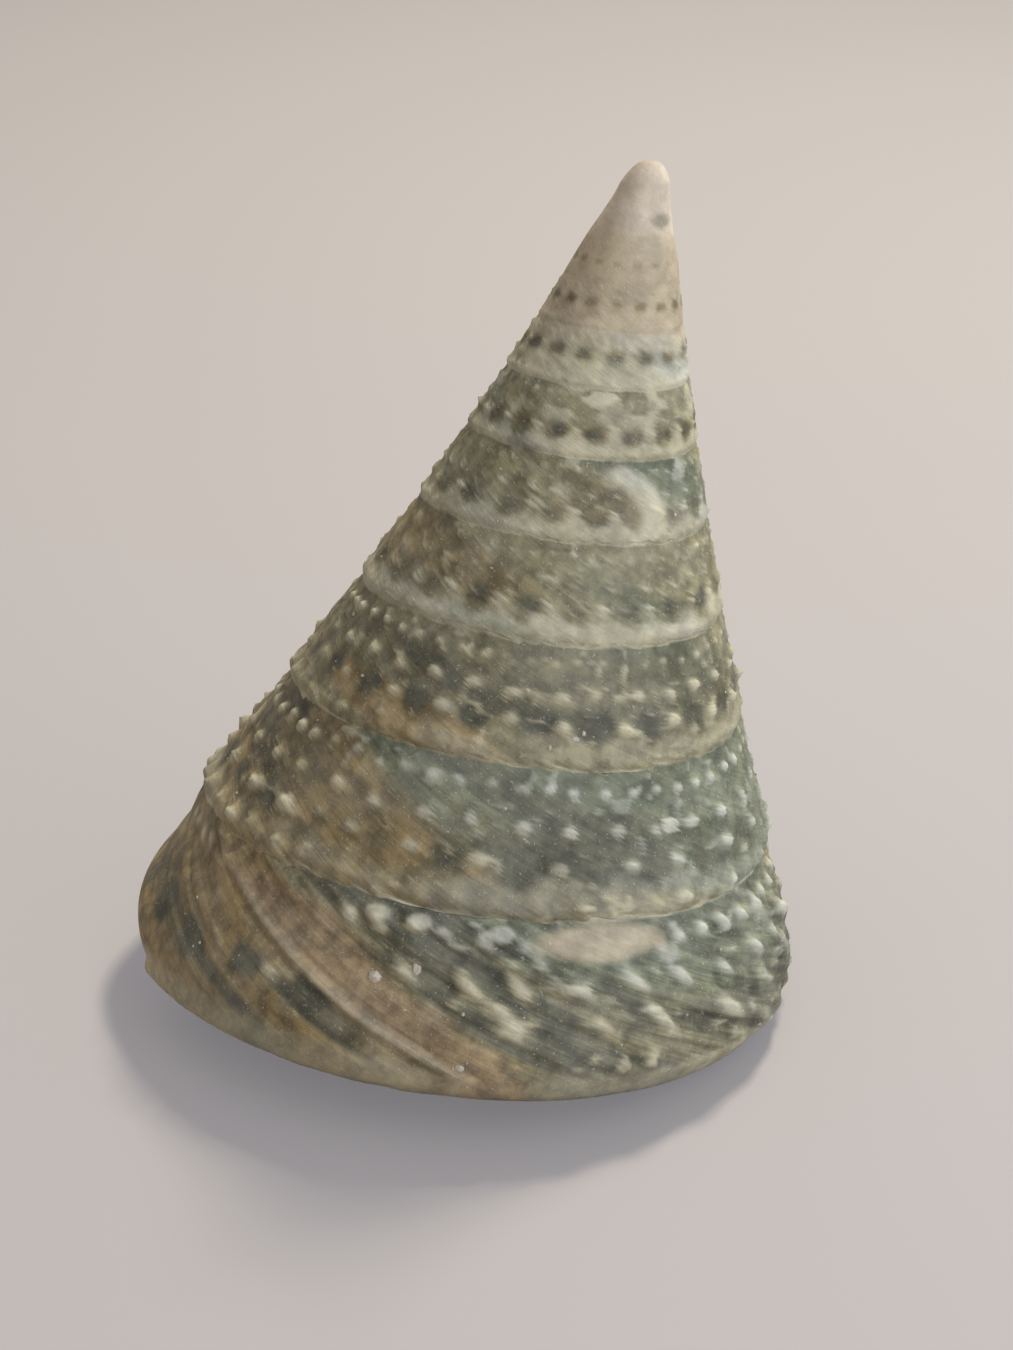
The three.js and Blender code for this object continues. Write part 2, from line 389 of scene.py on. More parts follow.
# %% Joining the strips
SUTURE_WELD = 0.004 * MM
choose([room, under, shell], shell)
bpy.ops.object.join()
edit_mode()
bpy.ops.mesh.remove_doubles(threshold=SUTURE_WELD)
object_mode()
print("shell has", len(shell.data.vertices), "vertices,", len(shell.data.polygons), "faces")

# %% [markdown]
# ## Finer faces where the picture is closest
# The last three whorls fill most of the picture, so their faces are subdivided once. The UV map is
# subdivided with them, and so every new corner knows its turn and its across too.

# %% Subdividing the last whorls
FINE_TURNS = 2.9


def growth_numbers(mesh):
    """turn and across of every corner. On a suture, those of the whorl whose lower edge it is."""
    uv = np.empty(len(mesh.loops) * 2)
    mesh.uv_layers["growth"].data.foreach_get("uv", uv)
    corner = np.empty(len(mesh.loops), dtype=int)
    mesh.loops.foreach_get("vertex_index", corner)
    uv = uv.reshape(-1, 2)
    outside = uv[:, 1] <= 2
    lowest_last = np.argsort(np.where(outside, uv[:, 1], uv[:, 1] - 10), kind="stable")
    numbers = np.zeros((len(mesh.vertices), 2))
    numbers[corner[lowest_last]] = uv[lowest_last]
    return numbers[:, 0], numbers[:, 1]


turn, across = growth_numbers(shell.data)
select_vertices(shell.data, (across <= 1) & (turn < FINE_TURNS))
bpy.ops.mesh.select_mode(type="FACE")
bpy.ops.mesh.subdivide(number_cuts=1)
object_mode()
print("shell now has", len(shell.data.polygons), "faces")

# %% [markdown]
# ## Knobs, ridges and wear
# Each whorl carries four rows: granules under the suture, beads, large pointed knobs, and low folds
# on the worn lower edge. A row has fewer on the smaller whorls. The knobs are heights that are
# added along the whorl, each a little different in size and place, as a sculptor would press them
# in. A value noise, made of random numbers with a smooth curve between them, gives the ridges.

# %% Noise and rows of knobs
NOISE = np.random.default_rng(7).uniform(-1, 1, (512, 64))
NOISE_SHIFT = (37.7, 11.3)  # between one seed and the next


def noise(x, y, seed):
    """Smooth noise from -1 to 1, with one bump for each whole step of x and y."""
    x = x + NOISE_SHIFT[0] * seed
    y = y + NOISE_SHIFT[1] * seed
    i = np.floor(x).astype(int)
    j = np.floor(y).astype(int)
    fx = ease(x - i, 0, 1)
    fy = ease(y - j, 0, 1)

    def at(di, dj):
        return NOISE[(i + di) % NOISE.shape[0], (j + dj) % NOISE.shape[1]]

    low = at(0, 0) * (1 - fx) + at(1, 0) * fx
    high = at(0, 1) * (1 - fx) + at(1, 1) * fx
    return low * (1 - fy) + high * fy


def ragged_at(turn, across):
    """Small steps, which break up an edge."""
    return noise(turn * 70, across * 9, 8)


def coarse_at(turn, across):
    """Wide swings, which make patches."""
    return noise(turn * 17, across * 3.5, 9)


SMALL_WHORLS_FROM = 6  # above this the number in a row stays the same
MOST_KNOBS = 600


@dataclass
class Row:
    """A row of knobs: where it is, how many it has, and how large they are."""

    across: float
    in_first_turn: int
    fewer_each_turn: float
    height: float
    width: float
    breadth: float
    seed: int

    def count(self, turn):
        """How many knobs there are from the lip to a turn."""
        large = np.clip(turn, None, SMALL_WHORLS_FROM)
        small = np.clip(turn - SMALL_WHORLS_FROM, 0, None)
        lost = self.fewer_each_turn * (large**2 / 2 + SMALL_WHORLS_FROM * small)
        return self.in_first_turn * turn - lost

    def bumps(self, turn, across, drawn_out):
        """How much of a knob's height each place has, and how near it is to the middle of a gap."""
        upright = 1.4 - 0.4 * drawn_out
        at = self.count(turn + upright * SLANT * (across - self.across))
        nearest = np.round(at)
        jitter = np.random.default_rng(self.seed).uniform(-1, 1, (3, MOST_KNOBS))
        along_shift, across_shift, size = jitter[:, nearest.astype(int) % MOST_KNOBS]
        along = (at - nearest - 0.12 * along_shift) / self.width
        down = (across - self.across - 0.022 * across_shift) / (self.breadth * drawn_out)
        shape = np.exp(-((along**2 + down**2) ** 0.9))
        return shape * (1 + 0.3 * size), np.abs(at - nearest) * 2


GRANULES = Row(0.15, 56, 2.4, 0.28, 0.22, 0.035, 1)
BEADS = Row(0.41, 35, 1.8, 0.42, 0.15, 0.042, 2)
KNOBS = Row(0.655, 26, 1.6, 0.52, 0.125, 0.05, 3)
FOLDS = Row(0.9, 48, 2.6, 0.4, 0.27, 0.075, 4)
# For each row, how much of it is left on the last whorl, and how pale it is
ROWS_OF_KNOBS = ((GRANULES, 1, 0.6), (BEADS, 0.9, 1), (KNOBS, 0.75, 1), (FOLDS, 0.4, 0.5))


def spot(x, y, half_x, half_y, edge=0.3):
    """A round spot: 1 inside, 0 outside, with a soft edge."""
    distance = np.sqrt((x / half_x) ** 2 + (y / half_y) ** 2)
    return 1 - ease(distance, 1 - edge, 1 + edge)


def stripe(x, middle, half, edge=0.4):
    return spot(x - middle, 0 * x, half, 1, edge)


# %% The flame
# A brown zone without knobs, along the growth lines of the last whorl. In turns from the lip:
FLAME_FROM = 0.183
FLAME_TO = 0.265
FLAME_NARROWING = 0.045


def flame_zone(turn, across):
    """The flame, the turn of its right edge, and a raised pale and a sunk dark line on its left edge."""
    right = FLAME_TO - FLAME_NARROWING * across + 0.007 * ragged_at(turn, across)
    from_edge = turn + 0.003 * coarse_at(turn, across) - FLAME_FROM
    flame = ease(from_edge, -0.006, 0.006) * (1 - ease(turn, right - 0.014, right + 0.014))
    pale_line = stripe(from_edge, 0.004, 0.006, 0.8) * ease(across, 0.08, 0.2)
    dark_line = stripe(from_edge, -0.008, 0.006, 0.8) * ease(across, 0.3, 0.6)
    return flame * ease(across, 0.02, 0.25), right, pale_line, dark_line


# %% Relief
CARVED_TURNS = 8.3  # above this the whorls are worn smooth


def carved(turn):
    """0 on the worn tip, 1 well below it."""
    return ease(CARVED_TURNS - turn, 0, 2)


def above_first(turn):
    return ease(turn, 1.6, 2.2)


def spot_at(turn, across, middle, half_x, half_y, edge=0.3):
    """A spot that doesn't slant with the growth lines."""
    return spot(ahead_of(turn, across) - middle[0], across - middle[1], half_x, half_y, edge)


def knob_relief(turn, across, flame, marks):
    """The height of the knobs and grains, and how much of a knob's colour each place has."""
    last = last_whorl(turn)
    patchy = np.clip(0.95 + 0.5 * noise(turn * 11, across * 4, 5), 0.5, 1.3)
    height = np.zeros_like(turn)
    knob = np.zeros_like(turn)
    for row, on_last, pale in ROWS_OF_KNOBS:
        bump, _ = row.bumps(turn, across, 1 + 0.8 * last)
        share = 1 - (1 - on_last) * last - 0.6 * (row is FOLDS) * above_first(turn)
        height += row.height * MM * bump * share * patchy
        knob += np.clip(bump * 1.25, 0, 1) * share * np.clip(patchy, 0, 1) * pale
    grains = ease(noise(ahead_of(turn, across) * 130, across * 14, 4), 0.35, 0.8)
    lip = ease(turn, 0.06, 0.26)
    height = (height + 0.13 * MM * grains) * carved(turn) * lip * (1 - 0.8 * flame)
    knob *= 1 - 0.9 * marks["round chip"]
    knob = np.clip(knob + 0.45 * grains, 0, 1) * carved(turn) * (0.3 + 0.7 * lip) * (1 - 0.85 * flame)
    return height, knob


def ridges(turn, across):
    """Noise that is drawn out along the growth lines."""
    return noise(turn * 118, across * 1.3, 1) * 0.6 + noise(turn * 47, across * 1.1, 10) * 0.4


def growth_relief(turn, across):
    """The height of the ridges, wrinkles and swells, and of the broken lower edge of a whorl."""
    last = last_whorl(turn)
    ridge = ridges(turn, across) * (0.03 + 0.13 * last * ease(turn, 0.02, 0.12))
    wrinkles = noise(turn * 40, across * 3.4, 2) * (0.03 + 0.09 * last)
    swells = noise(turn * 8, across * 2, 3) * 0.08
    broken = 0.14 * noise(turn * 150, 0 * turn, 18) * ease(across, 0.9, 0.97) * (1 - last)
    return MM * (broken * carved(turn) + (ridge + wrinkles + swells) * (0.35 + 0.65 * carved(turn)))


# %% Single marks
# The middle of each, as ahead_of() and across
WHITE_CHIP_AT = (1.294, 0.4)
OVAL_AT = (0.248, 0.13)
OVAL_EDGE_AT = (0.287, 0.14)
SCAR_AT = (4.215, 0.68)
CHIP_AT = (5.19, 0.17)
RING_AT = (7.25, 0.45)
PIT_AT = (9.31, 0.3)
NODULES_AT = ((0.13, 0.1), (0.152, 0.1), (0.194, 0.1))


def single_marks(turn, across):
    """Scars, chips and patches, each in one place only."""
    ahead = ahead_of(turn, across)
    ragged = ragged_at(turn, across)
    coarse = coarse_at(turn, across)
    from_scar = np.sqrt(((ahead - SCAR_AT[0]) / 0.07) ** 2 + ((across - SCAR_AT[1]) / 0.5) ** 2)
    crescent = np.exp(-(((from_scar - 1) / 0.27) ** 2)) * ease(ahead, 4.19, 4.24) * (1 + 0.25 * ragged)
    chip = spot(ahead - CHIP_AT[0] + 0.012 * ragged, across - CHIP_AT[1] + 0.04 * coarse, 0.03, 0.12)
    from_ring = np.sqrt(((ahead - RING_AT[0]) / 0.035) ** 2 + ((across - RING_AT[1]) / 0.16) ** 2)
    oval = spot(ahead - OVAL_AT[0] + 0.003 * ragged, across - OVAL_AT[1], 0.037, 0.125)
    return {
        "oval": oval * (turn < 1),
        "oval edge": spot_at(turn, across, OVAL_EDGE_AT, 0.005, 0.13, 0.4) * (turn < 1),
        "crescent": crescent,
        "scar": (1 - ease(from_scar, 0.75, 0.95)) * (across < 0.8),
        "chip": chip,
        "white chip": spot_at(turn, across, WHITE_CHIP_AT, 0.0065, 0.055, 0.12),
        "round chip": spot_at(turn, across, WHITE_CHIP_AT, 0.011, 0.09),
        "ring": np.exp(-(((from_ring - 1) / 0.3) ** 2)),
        "pit": spot_at(turn, across, PIT_AT, 0.075, 0.28, 0.6),
        "nodules": sum(spot_at(turn, across, middle, 0.007, 0.06, 0.4) for middle in NODULES_AT),
    }


MARK_HEIGHTS = {
    "oval": 0.18, "scar": -0.1, "crescent": 0.12, "chip": 0.15, "white chip": 0.22, "ring": 0.2,
    "nodules": 0.3, "pit": -0.25,
}
MARK_PALENESS = {"oval": 0.62, "crescent": 0.95, "chip": 0.8, "white chip": 1, "ring": 0.7, "nodules": 0.6}

# %% Where the shell is dark, brown, pale and green
PALE_FROM = 4.6  # the whorls above this turn are more and more worn
CREAM_FROM = 6.4


def worn_whorls(turn, across):
    return ease(turn + 0.35 * coarse_at(turn, across), PALE_FROM, CREAM_FROM)


def dark_gaps(turn, across):
    """The dark dots between the knobs, and the strip of the whorl that they are in."""
    _, from_knob = KNOBS.bumps(turn, across, 1)
    upper = ease(turn, 4.5, 5.5)
    dots_at = 0.655 - 0.22 * ease(turn, 5.6, 6.1) + 0.08 * ease(turn, 6.7, 8.3)
    dots_at += 0.02 * ragged_at(turn, across)
    strip = np.exp(-(((across - dots_at) / (0.1 + 0.035 * upper)) ** 2))
    gap = ease(from_knob, 0.35 - 0.2 * upper, 0.75 - 0.05 * upper) * strip * ease(9 - turn, 0, 1.2)
    gap *= np.clip(0.75 + 0.8 * noise(turn * 9, 0 * turn, 11) + 0.5 * upper, 0.15, 1)
    return gap, strip


def brown_zones(turn, across, gap):
    coarse = coarse_at(turn, across)
    brown = spot(turn - 0.06, across - 0.5, 0.17, 1.6, 0.2)
    brown += 0.75 * stripe(turn + 0.01 * coarse, 1.19, 0.045, 0.7)
    brown += 0.4 * spot(turn - 1.07, across - 0.5, 0.11, 1.2, 0.4)
    brown += 0.7 * spot(turn - 2.13, across - 0.8, 0.06, 0.22)
    brown += 0.4 * spot(turn - 3.12, across - 0.4, 0.14, 0.4)
    # Painted shade: brown on the left side of the lower whorls darkens the side that faces away from the
    # light on the right
    left_side_painted_shade = stripe((turn + 0.5) % 1, 0.59, 0.14, 0.5)
    brown += 0.3 * left_side_painted_shade * (1 - ease(turn, 2.6, 3.4))
    back = ease(turn % 1, 0.56, 0.62) * (1 - ease(turn % 1, 0.9, 0.98))
    brown += back * ease(noise(turn * 7, across * 0.8, 12), 0, 0.6)
    return brown + 0.25 * coarse + 0.8 * gap * ease(turn, 4.5, 5.5)


def dark_zones(turn, across, knob, gap):
    """Dark gaps, streaks and patches. On the last whorl the flame is free of them."""
    last = last_whorl(turn)
    coarse = coarse_at(turn, across)
    flame, flame_right, _, dark_line = flame_zone(turn, across)
    beside_knobs = 1 - knob
    dark = 0.6 * spot(turn - 0.155, across - 0.8, 0.017, 0.18, 0.6) + 0.3 * dark_line
    gap_darkness = 0.7 + 0.15 * ease(turn, 5.5, 6.1)
    dark += gap * gap_darkness * (1 - 0.6 * ease(turn, 6.5, 7.4) - 0.25 * ease(turn, 7.5, 8.4))
    past_flame = turn - flame_right
    streaks_past = ease(noise(turn * 64, across * 2.1, 13), 0.1, 0.7)
    dark += last * ease(past_flame, -0.01, 0.02) * beside_knobs * (0.3 + 0.5 * streaks_past)
    dark += 0.35 * stripe(past_flame, 0.03, 0.035, 0.5) * last * beside_knobs
    soft_streaks = ease(noise(turn * 34, across * 1.6, 22), 0, 0.6)
    dark += 0.38 * last * soft_streaks * stripe(turn, 0.115, 0.065, 0.3) * ease(across, 0.15, 0.5)
    lip_streaks = ease(noise(turn * 55, across * 1.2, 14), 0.15, 0.6)
    dark += 0.3 * last * (1 - ease(turn, 0.15, 0.18)) * lip_streaks
    dark += 0.35 * ease(coarse, 0.1, 0.8) * (1 - worn_whorls(turn, across))
    dark += 0.25 * stripe(turn, 1.19, 0.04, 0.7)
    dark += 0.45 * spot(turn - 2.33, across - 0.35, 0.26, 0.4, 0.4) * beside_knobs
    dark += 0.55 * spot(turn - 1.14, across - 0.45, 0.17, 0.6, 0.4) * ease(coarse, -0.6, 0.3)
    dark += 0.25 * spot(turn - 1.36, across - 0.45, 0.12, 0.5, 0.4)
    return dark * (1 - flame)


def pale_bands(turn, across):
    """The pale band on a whorl's lower edge, the thread at the suture and the pale upper whorls."""
    last = last_whorl(turn)
    ragged = ragged_at(turn, across)
    coarse = coarse_at(turn, across)
    first = 1 - above_first(turn)
    worn = worn_whorls(turn, across)
    upright = turn + SLANT * (across - KNOBS.across)
    scallop = (0.06 - 0.03 * first) * np.cos(math.tau * KNOBS.count(upright))
    wavy_across = across + 0.035 * ragged + 0.03 * coarse + scallop
    between_folds = FOLDS.bumps(turn, across, 1)[1] * ease(turn, 0.9, 1.2) * ease(6 - turn, 0, 1)
    band = ease(wavy_across, 0.69, 0.82) * (1 - last) * (1 - 0.3 * between_folds * first)
    band *= 0.7 + 0.2 * coarse - 0.28 * first - 0.36 * stripe(turn, 2.35, 0.33, 0.4)
    band *= 0.75 + 0.25 * worn
    thread = ease(across, 0.968, 0.985) * (1 - last) * ease(6.4 - turn, 0, 1.5)
    thread += (1 - ease(across, 0, 0.012)) * (1 - worn)
    thread *= (0.48 + 0.2 * first) * np.clip(0.7 + 0.9 * ragged, 0, 1)
    higher_up = 0.24 * ease(turn, 5.6, 6.2) + 0.26 * ease(turn, 6.8, 8.5)
    dark_field = (1 - ease(wavy_across, 0.7, 0.8)) * (1 - ease(turn, 5.5, 6.1))
    whorls = worn * (0.5 + higher_up + 0.14 * ragged + 0.1 * coarse) * (1 - 0.85 * dark_field)
    return band, thread, whorls


def pale_zones(turn, across, knob, gap, strip, marks):
    """The palest of the knobs, ridges, blotches, bands and single marks, and a strip of painted bounce light
    from the table along the last whorl's lower edge.
    """
    last = last_whorl(turn)
    flame, _, flame_line, _ = flame_zone(turn, across)
    ridge = ease(ridges(turn, across) + 0.5 * ragged_at(turn, across), 0.1, 0.8)
    granule, _ = GRANULES.bumps(turn, across, 1.2)
    raised = knob * (0.85 - 0.25 * worn_whorls(turn, across))
    raised += 0.28 * last * ease(turn, 0.3, 0.4) * ridge + 0.35 * granule * (turn < 2.2) * (1 - flame)
    blotch = ease(noise(ahead_of(turn, across) * 36, across * 4.5, 20), 0.05, 0.5) * (1 - gap)
    layers = [
        np.clip(raised, 0, 1),
        blotch * (0.12 + 0.45 * ease(turn, 3.9, 4.6)),
        *pale_bands(turn, across),
        np.clip(sum(marks[name] * share for name, share in MARK_PALENESS.items()), 0, 1),
        0.38 * flame_line,
        # Painted light: this pale strip along the last whorl's lower edge stands in for light bounced up from
        # the table
        0.42 * last * ease(across, 0.86, 1) * (1 - 0.6 * flame),
    ]
    pale = np.maximum.reduce(layers)
    pale *= 1 - 0.7 * flame * (1 - flame_line)
    pale *= 1 - 0.85 * gap * ease(turn, 4.5, 6)
    one_whorl = ease(turn, 5.6, 6) * (1 - ease(turn, 6.7, 7.2))
    pale *= 1 - 0.4 * strip * one_whorl * (0.8 + 0.5 * coarse_at(turn, across))
    return pale * (1 - 0.6 * marks["pit"])


def green_zones(turn, across):
    green = noise(turn * 5, across * 0.7, 15) + 0.9 * spot(turn - 1.35, across - 0.3, 0.16, 0.6)
    green += 0.6 * stripe(turn % 1, 0.42, 0.1) - 0.5 * ease(turn, 1.8, 2.5)
    return ease(green, -0.1, 0.7)


def surface_marks(turn, across):
    """The height of the surface at each place, and the masks that the material colours it by."""
    last = last_whorl(turn)
    flame, _, flame_line, dark_line = flame_zone(turn, across)
    marks = single_marks(turn, across)
    bare = np.clip(sum(marks[name] for name in ("oval", "scar", "chip", "round chip")), 0, 1)
    height, knob = knob_relief(turn, across, flame, marks)
    height += growth_relief(turn, across) + MM * (0.12 * flame_line - 0.08 * dark_line)
    height *= 1 - 0.85 * bare
    height += MM * sum(marks[name] * rise for name, rise in MARK_HEIGHTS.items())
    free = ease(across, 0, 0.05) * (last + (1 - last) * ease(1 - across, 0, 0.02))

    gap, strip = dark_gaps(turn, across)
    brown = brown_zones(turn, across, gap)
    dark = np.clip(dark_zones(turn, across, knob, gap), 0, 1) * (1 - bare) * (1 - 0.9 * knob)
    dark += 0.5 * marks["oval edge"] + 0.4 * marks["pit"] + 0.45 * marks["scar"]
    swung_level = level_of(turn, across) + 0.2 * coarse_at(turn, across)
    cream = 0.5 * ease(swung_level, 6.3, 7.7) + 0.5 * ease(swung_level, 9, 10.2)
    masks = {
        "pale": pale_zones(turn, across, knob, gap, strip, marks),
        "dark": np.clip(dark, 0, 1),
        "brown": np.clip(brown + 0.4 * marks["scar"], 0, 1),
        "green": green_zones(turn, across) * (1 - np.clip(brown, 0, 1)),
        "ochre": flame,
        "cream": 0.6 * marks["oval"] + cream,
    }
    return height * free, masks


# %% [markdown]
# ## Putting every corner in its place
# Each corner now goes to its place on the spiral, at its height. The marks for the colours stay on
# the mesh as attributes, which the material reads.

# %% Placing the corners
BASE_CORDS = 7
CORD_HEIGHT = 0.12 * MM
LINE_HEIGHT = 0.05 * MM


def base_relief(turn, across):
    """Low cords that run round the base, and the growth lines across them."""
    share = across - 1
    cords = np.cos(math.tau * BASE_CORDS * share)
    cords *= ease(share, 0.12, 0.25) * ease(0.85 - share, 0, 0.2)
    lines = noise(turn * 110, share * 3, 6) * ease(share, 0, 0.1) * ease(1 - share, 0, 0.1)
    return CORD_HEIGHT * cords + LINE_HEIGHT * lines


turn, across = growth_numbers(shell.data)
on_flank = across <= 1
on_base = (across > 1) & (across <= 2)
in_hollow = across > 2
height, masks = surface_marks(turn, np.clip(across, 0, 1))
rim_height, _ = surface_marks(turn[on_base], np.ones(on_base.sum()))
above_last = ease(turn, LAST_WHORL_FROM - 0.02, LAST_WHORL_FROM + 0.1) * ease(7 - turn, 0, 2)
broken_edge = 0.028 * noise(turn * 120, 0 * turn, 16) + 0.025 * noise(turn * 33, 0 * turn, 17)
flank_across = across + broken_edge * ease(across, 0.9, 1) * above_last
cord_height = base_relief(turn, across)
places = np.zeros((len(turn), 3))
places[on_flank] = flank(turn[on_flank], flank_across[on_flank], height[on_flank])
places[on_base] = base(turn[on_base], across[on_base], cord_height[on_base], rim_height)
places[in_hollow] = hollow(turn[in_hollow], across[in_hollow] - HOLLOW_SHARE)
shell.data.vertices.foreach_set("co", places.ravel())
shell.data.update()


def keep_mark(mesh, name, values):
    attribute = mesh.attributes.new(name, "FLOAT", "POINT")
    attribute.data.foreach_set("value", values.astype(np.float32))


cord = 0.5 + 0.5 * np.cos(math.tau * BASE_CORDS * (across - 1))
flecks = noise(turn * 40, across * BASE_CORDS, 19)
BASE_MASKS = {
    "pale": 0.3 + 0.35 * cord,
    "dark": 0.7 * ease(flecks, 0.1, 0.5) * cord,
    "brown": 0.5,
    "green": 0.15,
    "ochre": 0,
    "cream": 0.4,
}
past_rim = ease(across, 1.2, 1.5)
for name, values in masks.items():
    keep_mark(shell.data, name, values * (1 - past_rim) + BASE_MASKS[name] * past_rim)
keep_mark(shell.data, "inside", in_hollow * 1.0)
last_streaks = 0.45 + 0.5 * ease(turn, 0.22, 0.3)
upper_streaks = 0.08 + 0.42 * (1 - ease(turn, 1.6, 2.1))
streaky = upper_streaks + (last_streaks - upper_streaks) * last_whorl(turn)
keep_mark(shell.data, "streaky", np.where(on_flank, streaky, 0.25))
print("the knobs reach", round(float(height.max()) / MM, 2), "mm")

# %% [markdown]
# ## Closing the shell
# Four openings are left in the mesh: the middle of the base, the lip, the tip and the far end of
# the hollow. The middle of the base closes on one point. The lip is bridged to the mouth of the
# hollow. The tip is extruded into a small worn dome.

# %% Open edges
PILLAR_FOOT = 47.2 * MM
ON_LINE = 1e-4  # how near to a row of corners counts as on it, in across


def corner_places(mesh):
    return np.array([vertex.co for vertex in mesh.vertices])


def open_edges(mesh):
    """Pairs of corners of the edges that only one face uses."""
    uses = {}
    for polygon in mesh.polygons:
        for key in polygon.edge_keys:
            uses[key] = uses.get(key, 0) + 1
    return np.array([key for key, count in uses.items() if count == 1])


def select_edges_between(mesh, chosen):
    """Edit mode, with only those open edges selected whose two corners are both chosen."""
    keys = {tuple(key) for key in open_edges(mesh) if chosen[key[0]] and chosen[key[1]]}
    edit_mode("EDGE", "DESELECT")
    object_mode()
    for each in mesh.edges:
        if each.key in keys:
            each.select = True
    bpy.ops.object.mode_set(mode="EDIT")
    print(len(keys), "open edges selected")


def close_on_point():
    """Extrudes the selected open edges and draws their new corners together."""
    bpy.ops.mesh.extrude_edges_move()
    bpy.ops.mesh.select_mode(type="VERT")
    bpy.ops.mesh.merge(type="CENTER")
    object_mode()


turn, across = growth_numbers(shell.data)
select_edges_between(shell.data, np.abs(across - 2) < ON_LINE)
close_on_point()
pillar_end = [vertex for vertex in shell.data.vertices if vertex.select][0]
pillar_end.co = (0, 0, -PILLAR_FOOT)

# %% The lip and the mouth
AT_AXIS = 0.01 * MM
LOW_DOWN = -35 * MM
turn, across = growth_numbers(shell.data)
corners = corner_places(shell.data)
near_lip = (turn < 1) & (corners[:, 2] < LOW_DOWN)
at_axis = np.hypot(corners[:, 0], corners[:, 1]) < AT_AXIS
select_edges_between(shell.data, near_lip | at_axis)
bpy.ops.mesh.bridge_edge_loops(type="SINGLE", number_cuts=2, interpolation="LINEAR")
object_mode()
print("the lip is closed;", len(shell.data.polygons), "faces")

# %% The worn tip and the far end of the hollow
TIP_ZONE = -12 * MM
SMOOTHED_FROM = -7.6 * MM
# How much smaller and higher, in mm, each ring of the dome is than the one before
DOME = [(0.86, 0.22), (0.8, 0.32), (0.72, 0.4), (0.6, 0.42), (0.45, 0.3)]
DOME_FLATNESS = 0.8
heights = corner_places(shell.data)[:, 2]
select_edges_between(shell.data, heights > TIP_ZONE)
for size, rise in DOME:
    bpy.ops.mesh.extrude_edges_move()
    shrink = (size, size, size * DOME_FLATNESS)
    bpy.ops.transform.resize(value=shrink, center_override=(0, 0, float(heights.max())))
    bpy.ops.transform.translate(value=(0, 0, rise * MM))
close_on_point()
turn, across = growth_numbers(shell.data)
heights = corner_places(shell.data)[:, 2]
select_vertices(shell.data, (heights > SMOOTHED_FROM) & (across <= 1))
bpy.ops.mesh.vertices_smooth(factor=0.5, repeat=8)
object_mode()

select_edges_between(shell.data, (across > 2) & (turn > HOLLOW_TURNS - 0.01))
bpy.ops.mesh.fill()
object_mode()
print("open edges left:", len(open_edges(shell.data)))

# %% [markdown]
# ## Standing on the table
# The shell leans over onto the edge of its base, and its lowest edge is worn flat there. Bisect
# cuts that flat at the height of the table.

# %% Standing it up
FOOT_HEIGHT = 0.002 * MM  # just above the table
SHARP_TURNS = 4.8  # above this the sutures are worn round
shell.data.transform(stand)
edit_mode()
bpy.ops.mesh.bisect(
    plane_co=(0, 0, FOOT_HEIGHT), plane_no=(0, 0, 1), use_fill=True, clear_inner=True, threshold=SAME_PLACE
)
bpy.ops.mesh.select_all(action="SELECT")
bpy.ops.mesh.normals_make_consistent(inside=False)
object_mode()
bpy.ops.object.shade_smooth()
turn, across = growth_numbers(shell.data)
above_edge = np.where(turn < FINE_TURNS, (line_shares[-2] + 1) / 2, line_shares[-2])
has_ledge = (turn > LAST_WHORL_FROM) & (turn < SHARP_TURNS)
at_suture = has_ledge & (np.abs(across - 1) < ON_LINE)
at_ledge = has_ledge & (np.abs(across - above_edge) < ON_LINE)
for each in shell.data.edges:
    one, other = each.vertices
    each.use_edge_sharp = bool((at_suture[one] and at_suture[other]) or (at_ledge[one] and at_ledge[other]))
triangles = sum(len(polygon.vertices) - 2 for polygon in shell.data.polygons)
print("open edges:", len(open_edges(shell.data)), "; triangles:", triangles)

# %% [markdown]
# ## Grains stuck to the shell
# A beach leaves its sand on a shell. About two hundred grains, each a small icosphere with its
# corners moved, sit on the flank, a few of them where the photograph has large ones.

# %% Grit
GRAINS = 190
GRAIN_TURNS = 5
SMALLER_EACH_TURN = RADIUS_RATIO * DEPTH_RATIO
# turn, across, and a radius in mm
LARGE_GRAINS = [
    (0.233, 0.48, 0.33), (0.27, 0.38, 0.3), (0.2, 0.93, 0.22), (2.265, 0.75, 0.2), (2.28, 0.7, 0.16)
]
grain_rng = np.random.default_rng(21)


def stick_grain(turn, across, radius):
    turn, across = np.array([turn]), np.array([across])
    height, _ = surface_marks(turn, across)
    middle = stand @ Vector(flank(turn, across, height)[0])
    beside = stand @ Vector(flank(turn + 0.002, across, height)[0])
    below = stand @ Vector(flank(turn, across, height - 0.3 * MM)[0])
    size = grain_rng.uniform(0.6, 1.25, 3) * radius
    bpy.ops.mesh.primitive_ico_sphere_add(subdivisions=2, radius=1, location=(0, 0, 0))
    grain = bpy.context.object
    for vertex in grain.data.vertices:
        vertex.co *= grain_rng.uniform(0.78, 1.12)
    out = (middle - below).normalized()
    along = (beside - middle).normalized()
    side = out.cross(along).normalized()
    pressed = Matrix((along * size[0], side * size[1], out * size[2] * 0.7)).transposed().to_4x4()
    grain.data.transform(Matrix.Translation(middle) @ pressed)
    return grain


grains = [stick_grain(turn, across, radius * MM) for turn, across, radius in LARGE_GRAINS]
for _ in range(GRAINS):
    share = grain_rng.uniform(0, 1) * (1 - SMALLER_EACH_TURN**-GRAIN_TURNS)
    turn = 0.05 - math.log(1 - share) / math.log(SMALLER_EACH_TURN)
    radius = 0.035 + 0.09 * grain_rng.uniform(0, 1) ** 3
    grains.append(stick_grain(turn, grain_rng.uniform(0.04, 0.96), radius * MM))
choose(grains, grains[0])
bpy.ops.object.join()
grit = bpy.context.object
grit.name = "grit"
grit.data.name = "grit"
print("grit has", len(grains), "grains and", len(grit.data.polygons), "faces")

# %% [markdown]
# ## Node groups
# Fine streaks along the growth lines, whitish dust and the mix of the shell's colours are node
# groups, each made once with named inputs and outputs.

